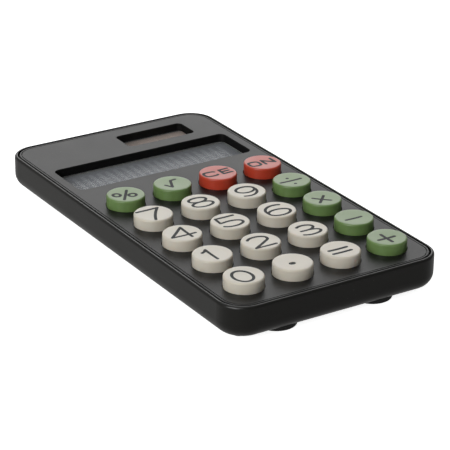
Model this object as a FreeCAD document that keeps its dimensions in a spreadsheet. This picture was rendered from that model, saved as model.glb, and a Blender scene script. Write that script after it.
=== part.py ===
"""Desk calculator: a shallow tray, a front panel with two sunk windows, twenty round keys and the works inside.

Millimetres. +Z is up, +X runs along the key rows, +Y runs from the front edge towards the display.
The origin is the middle of the base, level with the bottoms of the rubber feet.
"""

import FreeCAD, Part
import Sketcher

import math
import operator
import os

SIZES = {
    # the tray and the panel that closes it
    "case_width": 88.7,
    "case_length": 164.8,
    "case_height": 12.6,
    "case_corner": 10.3,
    "base_edge_round": 5.2,
    "inner_edge_round": 2.0,
    "rim_edge_round": 1.0,
    "case_wall": 2.4,
    "floor_thickness": 2.0,
    "rim_width": 1.1,
    "panel_gap": 0.55,
    "panel_drop": 0.1,
    "panel_thickness": 2.0,
    "panel_edge_round": 0.5,
    "panel_line_inset": 0.9,
    "panel_line_width": 0.35,
    "panel_line_depth": 0.35,
    # rubber feet
    "foot_radius": 7.5,
    "foot_stand": 1.6,
    "foot_seat": 0.8,
    "foot_clearance": 0.2,
    "foot_edge_round": 0.3,
    "foot_from_side": 24.25,
    "foot_from_end": 10.6,
    # keys
    "key_pitch": 20.0,
    "key_radius": 7.15,
    "key_stand": 4.06,
    "key_clearance": 0.3,
    "key_travel": 1.3,
    "key_wall": 1.2,
    "key_top_thickness": 1.4,
    "key_edge_round": 0.6,
    "flange_lap": 0.65,
    "flange_flat_lap": 0.45,
    "flange_thickness": 0.8,
    "plunger_radius": 2.6,
    "first_row_from_front": 15.8,
    "guide_depth": 2.6,
    # silicone mat under the keys
    "mat_thickness": 1.0,
    "mat_margin": 5.4,
    "mat_corner": 2.0,
    "dome_base_radius": 5.2,
    "dome_top_radius": 3.0,
    "dome_wall": 0.7,
    "dome_crown": 0.9,
    "pill_radius": 1.8,
    # circuit board
    "board_depth": 5.7,
    "board_thickness": 1.2,
    "board_margin": 0.4,
    "board_side_gap": 2.95,
    "board_back_inset": 21.4,
    "board_corner": 1.5,
    # display
    "display_width": 76.5,
    "display_length": 22.1,
    "display_corner": 2.6,
    "display_from_back": 38.35,
    "display_depth": 3.4,
    "recess_wall": 1.2,
    "window_thickness": 0.8,
    "lcd_glass_thickness": 0.7,
    "lcd_ledge": 2.6,
    "polariser_thickness": 0.2,
    "reflector_thickness": 0.3,
    "film_margin": 1.0,
    "film_corner": 0.3,
    "frame_clearance": 0.3,
    "frame_wall": 1.6,
    "strip_width": 1.9,
    "strip_inset": 0.35,
    "pad_margin": 3.0,
    # solar cell
    "solar_width": 30.2,
    "solar_length": 12.2,
    "solar_corner": 2.0,
    "solar_from_back": 15.05,
    "solar_offset": 14.4,
    "solar_depth": 3.2,
    "solar_cell_thickness": 1.1,
    "solar_lead_spacing": 4.0,
    "solar_lead_offset": 10.0,
    # button cell, its well and cover
    "cell_radius": 5.8,
    "cell_height": 3.05,
    "cell_clearance": 0.3,
    "cell_edge_round": 0.3,
    "well_from_back": 12.9,
    "well_wall": 1.4,
    "well_roof": 1.0,
    "cover_width": 16.0,
    "cover_front_reach": 11.9,
    "cover_back_reach": 7.1,
    "cover_thickness": 1.2,
    "cover_corner": 2.0,
    "cover_clearance": 0.15,
    "cover_screw_reach": 8.9,
    "contact_thickness": 0.3,
    "contact_width": 3.0,
    "contact_reach": 9.6,
    "contact_lift": 1.1,
    "leaf_reach": 4.1,
    "leaf_flat": 1.2,
    "notch_width": 3.8,
    # lead wires
    "wire_radius": 0.5,
    "wire_bend": 1.0,
    "wire_landing": 1.7,
    "solar_lead_drop": 1.2,
    # screws, bosses and posts
    "post_radius": 2.4,
    "boss_radius": 2.8,
    "boss_clearance": 0.4,
    "case_screw_inset": 6.9,
    "back_post_step": 11.0,
    "post_joint": 4.6,
    "case_shank_radius": 1.1,
    "case_head_radius": 2.2,
    "case_head_height": 1.3,
    "case_head_sink": 0.2,
    "board_shank_radius": 0.9,
    "board_head_radius": 1.9,
    "board_head_height": 1.0,
    "board_shank_reach": 3.6,
    "cover_shank_radius": 0.8,
    "cover_head_radius": 1.8,
    "cover_head_height": 0.9,
    "cover_shank_reach": 5.0,
    "thread_clearance": 0.05,
    "hole_clearance": 0.3,
    "slot_width": 0.5,
    "slot_depth": 0.4,
    "panel_skin": 2.6,
    # small parts on the back of the board
    "chip_radius": 6.5,
    "chip_height": 1.2,
    "chip_round": 1.0,
    "resistor_length": 1.6,
    "resistor_width": 0.8,
    "resistor_height": 0.5,
    "capacitor_length": 2.0,
    "capacitor_width": 1.25,
    "capacitor_height": 0.9,
    "small_part_step": 4.0,
    # ribs that hold the board up against a pressed key
    "rib_width": 1.2,
    "rib_end_gap": 3.1,
    "rib_clearance": 0.3,
}
KEY_COLUMNS = 4
KEY_LEGENDS = [
    ["0", "point", "equals", "plus"],
    ["1", "2", "3", "minus"],
    ["4", "5", "6", "times"],
    ["7", "8", "9", "divide"],
    ["percent", "root", "ce", "on"],
]
SIDES = (-1, 1)

doc = FreeCAD.newDocument("desk_calculator")
sheet = doc.addObject("Spreadsheet::Sheet", "Dims")
for row, (alias, number) in enumerate(SIZES.items(), start=1):
    sheet.set(f"A{row}", str(number))
    sheet.setAlias(f"A{row}", alias)
doc.recompute()


class Size:
    """A number together with the sheet formula that gives it, so that one sum places and binds a feature."""

    def __init__(self, number, formula):
        self.number = number
        self.formula = formula

    def joined(self, other, sign, work, swapped=False):
        other = other if isinstance(other, Size) else Size(other, str(other))
        first, second = (other, self) if swapped else (self, other)
        return Size(work(first.number, second.number), f"({first.formula} {sign} {second.formula})")

    def __add__(self, other):
        return self.joined(other, "+", operator.add)

    def __radd__(self, other):
        return self.joined(other, "+", operator.add, swapped=True)

    def __sub__(self, other):
        return self.joined(other, "-", operator.sub)

    def __rsub__(self, other):
        return self.joined(other, "-", operator.sub, swapped=True)

    def __mul__(self, other):
        return self.joined(other, "*", operator.mul)

    def __rmul__(self, other):
        return self.joined(other, "*", operator.mul, swapped=True)

    def __truediv__(self, other):
        return self.joined(other, "/", operator.truediv)

    def __neg__(self):
        return 0 - self


class Dims:
    """Every cell of the sheet as a Size, by its alias."""


for alias in SIZES:
    setattr(Dims, alias, Size(float(sheet.get(alias)), f"Dims.{alias}"))


# ---------------------------------------------------------------- feature helpers


def bind(thing, prop, size):
    """Tie one property to the sheet formula of a Size."""
    thing.setExpression(prop, size.formula if isinstance(size, Size) else str(size))


def xy_plane(body):
    return next(plane for plane in body.Origin.OriginFeatures if plane.Role == "XY_Plane")


def seat(body, feature, x, y, z):
    """Attach a sketch or primitive to the body's XY plane, shifted by bound offsets."""
    feature.AttachmentSupport = (xy_plane(body), [""])
    feature.MapMode = "FlatFace"
    for letter, size in zip("xyz", (x, y, z)):
        bind(feature, f"AttachmentOffset.Base.{letter}", size)
    return feature


def new_body(label):
    body = doc.addObject("PartDesign::Body", label)
    body.Label = label
    return body


def primitive(body, kind, name, x, y, z, **sizes):
    feature = body.newObject(f"PartDesign::{kind}", f"{body.Name}_{name}")
    seat(body, feature, x, y, z)
    for prop, size in sizes.items():
        bind(feature, prop, size)
    return feature


def rod(body, name, x, y, radius, low, high, cut=False):
    """An upright round post between two heights, or a hole of that shape."""
    kind = "SubtractiveCylinder" if cut else "AdditiveCylinder"
    return primitive(body, kind, name, x, y, low, Radius=radius, Height=high - low)


def rods(body, name, places, radius, low, high, cut=False):
    """Equal upright posts at several places from one sketch of circles, or holes of that shape."""
    sketch = body.newObject("Sketcher::SketchObject", f"{body.Name}_{name}_circles")
    seat(body, sketch, centre, centre, high if cut else low)
    up = FreeCAD.Vector(0, 0, 1)
    for number, (x, y) in enumerate(places):
        sketch.addGeometry(Part.Circle(FreeCAD.Vector(x.number, y.number, 0), up, radius.number))
        driven = [
            (Sketcher.Constraint("Radius", number, radius.number), radius),
            (Sketcher.Constraint("DistanceX", -1, 1, number, 3, x.number), x),
            (Sketcher.Constraint("DistanceY", -1, 1, number, 3, y.number), y),
        ]
        for constraint, size in driven:
            bind(sketch, f"Constraints[{sketch.addConstraint(constraint)}]", size)
    feature = body.newObject(f"PartDesign::{'Pocket' if cut else 'Pad'}", f"{body.Name}_{name}")
    feature.Profile = sketch
    bind(feature, "Length", high - low)
    return feature


def cone(body, name, x, y, low_radius, high_radius, low, high, cut=False):
    kind = "SubtractiveCone" if cut else "AdditiveCone"
    return primitive(body, kind, name, x, y, low, Radius1=low_radius, Radius2=high_radius, Height=high - low)


def block(body, name, x, y, wide, long, low, high, cut=False):
    """A box centred on x, y between two heights."""
    kind = "SubtractiveBox" if cut else "AdditiveBox"
    corner_x, corner_y = x - wide / 2, y - long / 2
    return primitive(body, kind, name, corner_x, corner_y, low, Length=wide, Width=long, Height=high - low)


def rounded_outline(body, name, x, y, z, wide, long, corner):
    """A sketch of a rectangle with round corners, symmetric about its own origin."""
    sketch = body.newObject("Sketcher::SketchObject", f"{body.Name}_{name}_outline")
    seat(body, sketch, x, y, z)
    reach_x, reach_y = wide.number / 2, long.number / 2
    inner_x, inner_y = reach_x - corner.number, reach_y - corner.number
    ends = [
        ((-inner_x, -reach_y), (inner_x, -reach_y)),
        ((reach_x, -inner_y), (reach_x, inner_y)),
        ((inner_x, reach_y), (-inner_x, reach_y)),
        ((-reach_x, inner_y), (-reach_x, -inner_y)),
    ]
    for start, end in ends:
        sketch.addGeometry(Part.LineSegment(FreeCAD.Vector(*start, 0), FreeCAD.Vector(*end, 0)))
    up = FreeCAD.Vector(0, 0, 1)
    quarter = math.pi / 2
    centres = [(inner_x, -inner_y), (inner_x, inner_y), (-inner_x, inner_y), (-inner_x, -inner_y)]
    for turn, centre in enumerate(centres):
        circle = Part.Circle(FreeCAD.Vector(*centre, 0), up, corner.number)
        sketch.addGeometry(Part.ArcOfCircle(circle, (turn - 1) * quarter, turn * quarter))
    rules = sketch.addConstraint
    start, end, middle, first_arc = 1, 2, 3, 4
    for side in range(4):
        arc = first_arc + side
        rules(Sketcher.Constraint("Tangent", side, end, arc, start))
        rules(Sketcher.Constraint("Tangent", arc, end, (side + 1) % 4, start))
        rules(Sketcher.Constraint("Vertical" if side % 2 else "Horizontal", side))
    for arc in range(first_arc, first_arc + 3):
        rules(Sketcher.Constraint("Equal", arc, arc + 1))
    rules(Sketcher.Constraint("Symmetric", first_arc, middle, first_arc + 2, middle, -1, 1))
    driven = [
        (Sketcher.Constraint("Radius", first_arc, corner.number), corner),
        (Sketcher.Constraint("DistanceX", 3, start, 1, start, wide.number), wide),
        (Sketcher.Constraint("DistanceY", 0, start, 2, end, long.number), long),
    ]
    for constraint, size in driven:
        bind(sketch, f"Constraints[{rules(constraint)}]", size)
    return sketch


def slab(body, name, x, y, wide, long, corner, low, high):
    """A plate with round corners between two heights."""
    feature = body.newObject("PartDesign::Pad", f"{body.Name}_{name}")
    feature.Profile = rounded_outline(body, name, x, y, low, wide, long, corner)
    bind(feature, "Length", high - low)
    return feature


def hollow(body, name, x, y, wide, long, corner, low, high):
    """A pocket with round corners that is open at the height high and ends at the height low."""
    feature = body.newObject("PartDesign::Pocket", f"{body.Name}_{name}")
    feature.Profile = rounded_outline(body, name, x, y, high, wide, long, corner)
    bind(feature, "Length", high - low)
    return feature


def edges_at(feature, height):
    """Names of the level edges of a feature at one height."""
    doc.recompute()
    names = []
    for number, edge in enumerate(feature.Shape.Edges, start=1):
        box = edge.BoundBox
        if abs(box.ZMin - height.number) < 1e-4 and abs(box.ZMax - height.number) < 1e-4:
            names.append(f"Edge{number}")
    return names


def round_edges(body, name, feature, edges, radius):
    fillet = body.newObject("PartDesign::Fillet", f"{body.Name}_{name}")
    fillet.Base = (feature, edges)
    bind(fillet, "Radius", radius)
    return fillet


def bound_part(kind, name, x, y, z, **sizes):
    """A Part primitive whose sizes and place are bound to the sheet."""
    part = doc.addObject(f"Part::{kind}", name)
    for prop, size in sizes.items():
        bind(part, prop, size)
    for letter, size in zip("xyz", (x, y, z)):
        bind(part, f"Placement.Base.{letter}", size)
    return part


def joined(kind, label, members):
    """A Part::MultiFuse of several shapes, or a Part::Compound in which they stay separate solids."""
    whole = doc.addObject(f"Part::{kind}", label)
    whole.Label = label
    if kind == "Compound":
        whole.Links = members
    else:
        whole.Shapes = members
    return whole


# ---------------------------------------------------------------- places shared by several pieces

base = Dims.foot_stand
floor_top = base + Dims.floor_thickness
rim_top = base + Dims.case_height
panel_top = rim_top - Dims.panel_drop
panel_under = panel_top - Dims.panel_thickness
half_width = Dims.case_width / 2
half_length = Dims.case_length / 2

board_top = panel_under - Dims.board_depth
board_under = board_top - Dims.board_thickness
mat_top = board_top + Dims.mat_thickness
post_joint_height = panel_under - Dims.post_joint
pilot_end = panel_top - Dims.panel_skin

hole_radius = Dims.key_radius + Dims.key_clearance
flange_radius = hole_radius + Dims.flange_lap
flange_flat = hole_radius + Dims.flange_flat_lap
key_top = panel_top + Dims.key_stand
flange_top = panel_under - Dims.key_clearance
key_bottom = flange_top - Dims.flange_thickness
dome_top = key_bottom - Dims.key_clearance

first_row = Dims.first_row_from_front - half_length
last_row = first_row + (len(KEY_LEGENDS) - 1) * Dims.key_pitch
columns = [(number - (KEY_COLUMNS - 1) / 2) * Dims.key_pitch for number in range(KEY_COLUMNS)]
rows = [first_row + number * Dims.key_pitch for number in range(len(KEY_LEGENDS))]
between_rows = [place + Dims.key_pitch / 2 for place in rows]
back_posts = last_row + Dims.back_post_step

centre = Size(0, "0")
corner_x = half_width - Dims.case_screw_inset
corner_y = half_length - Dims.case_screw_inset
case_screw_places = [(side * corner_x, end * corner_y) for side in SIDES for end in SIDES]
middle_screw_places = [(centre, between_rows[1]), (centre, back_posts)]
all_case_screw_places = case_screw_places + middle_screw_places
board_screw_places = [
    (side * Dims.key_pitch, place) for side in SIDES for place in (between_rows[0], between_rows[2], back_posts)
]

display_y = half_length - Dims.display_from_back
display_window_width = Dims.display_width + 2 * Dims.recess_wall
display_window_length = Dims.display_length + 2 * Dims.recess_wall
display_window_corner = Dims.display_corner + Dims.recess_wall
display_window_top = panel_top - Dims.display_depth
display_window_under = display_window_top - Dims.window_thickness
front_glass_top = display_window_under - Dims.polariser_thickness
front_glass_under = front_glass_top - Dims.lcd_glass_thickness
rear_glass_under = front_glass_under - Dims.lcd_glass_thickness
reflector_under = rear_glass_under - Dims.reflector_thickness
glass_length = display_window_length - Dims.frame_clearance
rear_glass_length = glass_length - Dims.lcd_ledge
rear_glass_y = display_y + Dims.lcd_ledge / 2

solar_y = half_length - Dims.solar_from_back
solar_window_width = Dims.solar_width + 2 * Dims.recess_wall
solar_window_length = Dims.solar_length + 2 * Dims.recess_wall
solar_window_corner = Dims.solar_corner + Dims.recess_wall
solar_window_top = panel_top - Dims.solar_depth
solar_window_under = solar_window_top - Dims.window_thickness
solar_cell_under = solar_window_under - Dims.solar_cell_thickness

board_front = first_row - Dims.mat_margin - Dims.board_margin
board_back = half_length - Dims.board_back_inset
board_width = Dims.case_width - 2 * (Dims.case_wall + Dims.board_side_gap)
wire_landing_y = board_back - Dims.wire_landing

well_y = half_length - Dims.well_from_back
well_radius = Dims.cell_radius + Dims.cell_clearance
tail_top = board_top + Dims.contact_lift
well_roof_top = tail_top + Dims.well_roof
cover_top = base + Dims.cover_thickness
cover_y = well_y + (Dims.cover_back_reach - Dims.cover_front_reach) / 2
cover_length = Dims.cover_front_reach + Dims.cover_back_reach
cover_screw_y = well_y - Dims.cover_screw_reach
cell_top = cover_top + Dims.cell_height

foot_top = base + Dims.foot_seat
foot_x = half_width - Dims.foot_from_side
foot_y = half_length - Dims.foot_from_end
foot_places = [(side * foot_x, end * foot_y) for side in SIDES for end in SIDES]
key_places = [(x, y) for y in rows for x in columns]


# ---------------------------------------------------------------- casing


def make_rear_case():
    """Tray with a rounded underside, a rim that hides the panel's edge, screw bosses and the cell's well."""
    body = new_body("rear_case")
    wide, long, corner = Dims.case_width, Dims.case_length, Dims.case_corner
    shell = slab(body, "shell", centre, centre, wide, long, corner, base, rim_top)
    shell = round_edges(body, "base_round", shell, edges_at(shell, base), Dims.base_edge_round)
    round_edges(body, "rim_round", shell, edges_at(shell, rim_top), Dims.rim_edge_round)
    inset = 2 * Dims.case_wall
    inner = wide - inset, long - inset, corner - Dims.case_wall
    inside = hollow(body, "inside", centre, centre, *inner, floor_top, rim_top)
    corners = edges_at(inside, floor_top)
    round_edges(body, "inside_round", inside, corners, Dims.inner_edge_round)
    inset = 2 * Dims.rim_width
    lip = wide - inset, long - inset, corner - Dims.rim_width
    hollow(body, "panel_seat", centre, centre, *lip, panel_under, rim_top)

    places = all_case_screw_places
    head_seat = base + Dims.case_head_height + Dims.case_head_sink
    head_hole = Dims.case_head_radius + Dims.hole_clearance
    shank_hole = Dims.case_shank_radius + Dims.hole_clearance
    rods(body, "bosses", places, Dims.boss_radius, base + Dims.floor_thickness / 2, post_joint_height)
    rods(body, "shank_holes", places, shank_hole, base, post_joint_height, cut=True)
    rods(body, "head_holes", places, head_hole, base, head_seat, cut=True)
    for number, place in enumerate((between_rows[0], between_rows[2])):
        high = board_under - Dims.rib_clearance
        length = 2 * (Dims.key_pitch - Dims.board_head_radius - Dims.rib_end_gap)
        block(body, f"rib{number}", centre, place, length, Dims.rib_width, floor_top, high)

    rod(body, "well", centre, well_y, well_radius + Dims.well_wall, cover_top, well_roof_top)
    rod(body, "cover_boss", centre, cover_screw_y, Dims.post_radius, cover_top, well_roof_top)
    rod(body, "well_inside", centre, well_y, well_radius, base, tail_top, cut=True)
    gap = Dims.cover_clearance
    seat_width, seat_length = Dims.cover_width + 2 * gap, cover_length + 2 * gap
    hollow(body, "cover_seat", centre, cover_y, seat_width, seat_length, Dims.cover_corner + gap, base, cover_top)
    pilot = Dims.cover_shank_radius + Dims.thread_clearance
    pilot_top = cover_top + Dims.cover_shank_reach + Dims.thread_clearance
    rod(body, "cover_pilot", centre, cover_screw_y, pilot, base, pilot_top, cut=True)
    for side in SIDES:
        name = f"contact_notch{side + 1}"
        through = well_radius + Dims.well_wall
        block(body, name, side * through, well_y, through, Dims.notch_width, floor_top, tail_top, cut=True)
    seat_radius = Dims.foot_radius + Dims.foot_clearance
    rods(body, "foot_seats", foot_places, seat_radius, base, foot_top, cut=True)
    return body


def make_front_panel():
    """Flat panel with twenty key holes, two sunk window frames, key guides and screw posts below."""
    body = new_body("front_panel")
    inset = Dims.rim_width + Dims.panel_gap
    wide, long = Dims.case_width - 2 * inset, Dims.case_length - 2 * inset
    face = slab(body, "face", centre, centre, wide, long, Dims.case_corner - inset, panel_under, panel_top)
    round_edges(body, "face_round", face, edges_at(face, panel_top), Dims.panel_edge_round)
    line = panel_top - Dims.panel_line_depth
    for name, shape, step in (("line", hollow, 0), ("middle", slab, Dims.panel_line_width)):
        inset = Dims.rim_width + Dims.panel_gap + Dims.panel_line_inset + step
        outline = Dims.case_width - 2 * inset, Dims.case_length - 2 * inset, Dims.case_corner - inset
        shape(body, name, centre, centre, *outline, line, panel_top)

    frame = display_window_width, display_window_length, display_window_corner
    slab(body, "display_frame", centre, display_y, *frame, display_window_top, line)
    frame = solar_window_width, solar_window_length, solar_window_corner
    slab(body, "solar_frame", Dims.solar_offset, solar_y, *frame, solar_window_top, line)
    opening = Dims.display_width, Dims.display_length, Dims.display_corner
    hollow(body, "display_recess", centre, display_y, *opening, display_window_top, panel_top)
    opening = Dims.solar_width, Dims.solar_length, Dims.solar_corner
    hollow(body, "solar_recess", Dims.solar_offset, solar_y, *opening, solar_window_top, panel_top)

    guide_width = Dims.key_pitch - 2 * (flange_flat + Dims.key_clearance)
    guide_length = last_row - first_row + 2 * Dims.mat_margin
    guide_low = panel_under - Dims.guide_depth
    for number in range(KEY_COLUMNS - 1):
        x = (number - (KEY_COLUMNS - 2) / 2) * Dims.key_pitch
        middle = (first_row + last_row) / 2
        block(body, f"guide{number}", x, middle, guide_width, guide_length, guide_low, panel_under)
    pilot = Dims.board_shank_radius + Dims.thread_clearance
    pilot_high = board_top + Dims.board_shank_reach + Dims.thread_clearance
    rods(body, "board_posts", board_screw_places, Dims.post_radius, board_top, panel_under)
    rods(body, "board_pilots", board_screw_places, pilot, board_top, pilot_high, cut=True)
    pilot = Dims.case_shank_radius + Dims.thread_clearance
    rods(body, "case_posts", all_case_screw_places, Dims.post_radius, post_joint_height, panel_under)
    rods(body, "case_pilots", all_case_screw_places, pilot, post_joint_height, pilot_end, cut=True)
    rods(body, "key_holes", key_places, hole_radius, guide_low, panel_top, cut=True)
    return body


def make_feet():
    """Four round rubber pads pressed into seats in the underside."""
    feet = []
    for end, end_name in zip(SIDES, ("front", "back")):
        for side, side_name in zip(SIDES, ("left", "right")):
            body = new_body(f"foot_{end_name}_{side_name}")
            pad = rod(body, "pad", side * foot_x, end * foot_y, Dims.foot_radius, centre, foot_top)
            round_edges(body, "edge", pad, edges_at(pad, centre), Dims.foot_edge_round)
            feet.append(body)
    return feet


# ---------------------------------------------------------------- keys and what is under them


def make_key(name, x, y):
    """Hollow round cap with a middle plunger and a flange that stays under the panel."""
    body = new_body(f"key_{name}")
    cap = rod(body, "cap", x, y, Dims.key_radius, key_bottom, key_top)
    round_edges(body, "edge", cap, edges_at(cap, key_top), Dims.key_edge_round)
    rod(body, "flange", x, y, flange_radius, key_bottom, flange_top)
    trim = Dims.flange_lap
    for side in SIDES:
        trim_x = x + side * (flange_flat + trim / 2)
        block(body, f"flat{side + 1}", trim_x, y, trim, 2 * flange_radius, key_bottom, flange_top, cut=True)
    ceiling = key_top - Dims.key_top_thickness
    rod(body, "inside", x, y, Dims.key_radius - Dims.key_wall, key_bottom, ceiling, cut=True)
    rod(body, "plunger", x, y, Dims.plunger_radius, key_bottom, key_top - Dims.key_top_thickness / 2)
    return body


def make_keys():
    keys = []
    for y, names in zip(rows, KEY_LEGENDS):
        keys += [make_key(name, x, y) for name, x in zip(names, columns)]
    return keys


def make_key_mat():
    """Silicone sheet with a sprung dome under each key and a conductive pill moulded into each dome."""
    sheet_body = new_body("key_mat_sheet")
    wide = (KEY_COLUMNS - 1) * Dims.key_pitch + 2 * Dims.mat_margin
    long = last_row - first_row + 2 * Dims.mat_margin
    middle = (first_row + last_row) / 2
    slab(sheet_body, "sheet", centre, middle, wide, long, Dims.mat_corner, board_top, mat_top)

    low_radius = Dims.dome_base_radius - Dims.dome_wall
    high_radius = Dims.dome_top_radius - Dims.dome_wall
    ceiling = dome_top - Dims.dome_crown
    outer = {"Radius1": Dims.dome_base_radius, "Radius2": Dims.dome_top_radius, "Height": dome_top - mat_top}
    inner = {"Radius1": low_radius, "Radius2": high_radius, "Height": ceiling - mat_top}
    foot = {"Radius": low_radius, "Height": mat_top - board_top}
    pill_low = board_top + Dims.key_travel - Dims.key_clearance
    pill = {"Radius": Dims.pill_radius, "Height": dome_top - Dims.dome_crown / 2 - pill_low}
    domes, insides, pills = [sheet_body], [], []
    for number, (x, y) in enumerate(key_places):
        domes.append(bound_part("Cone", f"dome{number}", x, y, mat_top, **outer))
        insides.append(bound_part("Cone", f"dome_inside{number}", x, y, mat_top, **inner))
        insides.append(bound_part("Cylinder", f"dome_foot{number}", x, y, board_top, **foot))
        pills.append(bound_part("Cylinder", f"pill{number}", x, y, pill_low, **pill))
    holes = [(place, Dims.post_radius) for place in board_screw_places]
    holes += [(place, Dims.boss_radius) for place in middle_screw_places]
    for number, ((x, y), radius) in enumerate(holes):
        sizes = {"Radius": radius + Dims.boss_clearance, "Height": Dims.mat_thickness}
        insides.append(bound_part("Cylinder", f"mat_hole{number}", x, y, board_top, **sizes))

    raised = joined("MultiFuse", "key_mat_raised", domes)
    opened = doc.addObject("Part::Cut", "key_mat_opened")
    opened.Base, opened.Tool = raised, joined("Compound", "key_mat_insides", insides)
    return joined("MultiFuse", "key_mat", [opened] + pills)


# ---------------------------------------------------------------- electronics


def make_circuit_board():
    body = new_body("circuit_board")
    middle, long = (board_front + board_back) / 2, board_back - board_front
    slab(body, "board", centre, middle, board_width, long, Dims.board_corner, board_under, board_top)
    clear = Dims.board_shank_radius + Dims.hole_clearance
    rods(body, "screw_holes", board_screw_places, clear, board_under, board_top, cut=True)
    clear = Dims.boss_radius + Dims.boss_clearance
    rods(body, "boss_holes", middle_screw_places, clear, board_under, board_top, cut=True)
    notch_depth = board_back - cover_screw_y + Dims.post_radius + Dims.boss_clearance
    notch_width = 2 * (Dims.post_radius + Dims.boss_clearance)
    notch_y = board_back - notch_depth / 2
    block(body, "boss_notch", centre, notch_y, notch_width, notch_depth, board_under, board_top, cut=True)
    return body


def make_chip_cover():
    """Drop of black resin over the one chip, on the back of the board."""
    body = new_body("chip_cover")
    low = board_under - Dims.chip_height
    drop = rod(body, "drop", centre, between_rows[3], Dims.chip_radius, low, board_under)
    round_edges(body, "edge", drop, edges_at(drop, low), Dims.chip_round)
    return body


def small_parts(label, side, count, long, wide, tall):
    """A row of equal small blocks on the back of the board, beside the chip."""
    blocks = []
    first = Dims.chip_radius + Dims.small_part_step / 2
    for number in range(count):
        box = doc.addObject("Part::Box", f"{label}_{number}")
        x = side * (first + number * Dims.small_part_step)
        for prop, size in (("Length", wide), ("Width", long), ("Height", tall)):
            bind(box, prop, size)
        for letter, size in zip("xyz", (x - wide / 2, between_rows[3] - long / 2, board_under - tall)):
            bind(box, f"Placement.Base.{letter}", size)
        blocks.append(box)
    return joined("Compound", label, blocks)


def sheet_piece(label, y, wide, long, corner, low, high, x=centre):
    """A flat piece with round corners."""
    body = new_body(label)
    slab(body, "sheet", x, y, wide, long, corner, low, high)
    return body


def make_display():
    """Clear window, the liquid crystal sandwich, and what holds and feeds it."""
    wide, long, corner = display_window_width, display_window_length, display_window_corner
    glass_width = wide - Dims.frame_clearance
    film = Dims.film_margin
    corner_glass = Dims.film_corner
    window = sheet_piece("display_window", display_y, wide, long, corner, display_window_under, display_window_top)
    films = glass_width - 2 * film, glass_length - 2 * film, corner_glass
    front_film = sheet_piece("lcd_front_polariser", display_y, *films, front_glass_top, display_window_under)
    plate = glass_width, glass_length, corner_glass
    front_glass = sheet_piece("lcd_front_glass", display_y, *plate, front_glass_under, front_glass_top)
    plate = glass_width, rear_glass_length, corner_glass
    rear_glass = sheet_piece("lcd_rear_glass", rear_glass_y, *plate, rear_glass_under, front_glass_under)
    films = glass_width - 2 * film, rear_glass_length - 2 * film, corner_glass
    reflector = sheet_piece("lcd_reflector", rear_glass_y, *films, reflector_under, rear_glass_under)

    pad = Dims.pad_margin
    pads = glass_width - 2 * pad, rear_glass_length - 2 * pad, corner_glass
    cushion = sheet_piece("lcd_foam_pad", rear_glass_y, *pads, board_top, reflector_under)
    strip_y = display_y - glass_length / 2 + Dims.strip_inset + Dims.strip_width / 2
    strip = glass_width - 2 * film, Dims.strip_width, corner_glass
    connector = sheet_piece("lcd_rubber_connector", strip_y, *strip, board_top, front_glass_under)

    frame = new_body("lcd_frame")
    gap, wall = Dims.frame_clearance, Dims.frame_wall
    outer = gap + wall
    outline = wide + 2 * outer, long + 2 * outer, corner_glass + outer
    slab(frame, "outer", centre, display_y, *outline, board_top, panel_under)
    outline = wide + 2 * gap, long + 2 * gap, corner_glass + gap
    hollow(frame, "inner", centre, display_y, *outline, board_top, panel_under)
    return [window, front_film, front_glass, rear_glass, reflector, cushion, connector, frame]


def make_solar_unit():
    wide, long, corner = solar_window_width, solar_window_length, solar_window_corner
    place = {"x": Dims.solar_offset}
    window = sheet_piece("solar_window", solar_y, wide, long, corner, solar_window_under, solar_window_top, **place)
    cell = wide - Dims.frame_clearance, long - Dims.frame_clearance, Dims.film_corner
    return [window, sheet_piece("solar_cell", solar_y, *cell, solar_cell_under, solar_window_under, **place)]


def bent_wire(x, points):
    """A round wire through points (y, z) in the plane of one x, with a quarter bend at each inner point."""
    bend = Dims.wire_bend.number
    corners = [FreeCAD.Vector(x.number, y.number, z.number) for y, z in points]
    edges, start = [], corners[0]
    for before, here, after in zip(corners, corners[1:], corners[2:]):
        back, ahead = (before - here).normalize(), (after - here).normalize()
        entry, leave = here + back * bend, here + ahead * bend
        middle = here + (back + ahead) * bend * (1 - 0.5**0.5)
        edges += [Part.LineSegment(start, entry).toShape(), Part.Arc(entry, middle, leave).toShape()]
        start = leave
    edges.append(Part.LineSegment(start, corners[-1]).toShape())
    path = Part.Wire(edges)
    ring = Part.Wire([Part.Circle(corners[0], corners[1] - corners[0], Dims.wire_radius.number).toShape()])
    return path.makePipeShell([ring], True, True)


def wires(label, runs):
    """Two insulated lead wires as one node; a swept tube has no primitive, so its shape is set directly."""
    feature = doc.addObject("Part::Feature", label)
    feature.Label = label
    feature.Shape = Part.makeCompound([bent_wire(x, points) for x, points in runs])
    return feature


def make_wires():
    lift = tail_top + Dims.wire_radius
    start = well_y + Dims.contact_width / 4
    landing = wire_landing_y
    route = [(start, lift), (landing, lift), (landing, board_top)]
    battery_runs = [(side * (Dims.contact_reach - Dims.wire_radius), route) for side in SIDES]
    under = solar_cell_under - Dims.solar_lead_drop
    route = [(solar_y, solar_cell_under), (solar_y, under), (landing, under), (landing, board_top)]
    middle = Dims.solar_offset + Dims.solar_lead_offset
    solar_runs = [(middle + side * Dims.solar_lead_spacing / 2, route) for side in SIDES]
    return [wires("battery_wires", battery_runs), wires("solar_wires", solar_runs)]


# ---------------------------------------------------------------- power


def make_button_cell():
    body = new_body("button_cell")
    can = rod(body, "can", centre, well_y, Dims.cell_radius, cover_top, cell_top)
    round_edges(body, "edge", can, edges_at(can, cover_top), Dims.cell_edge_round)
    return body


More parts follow.
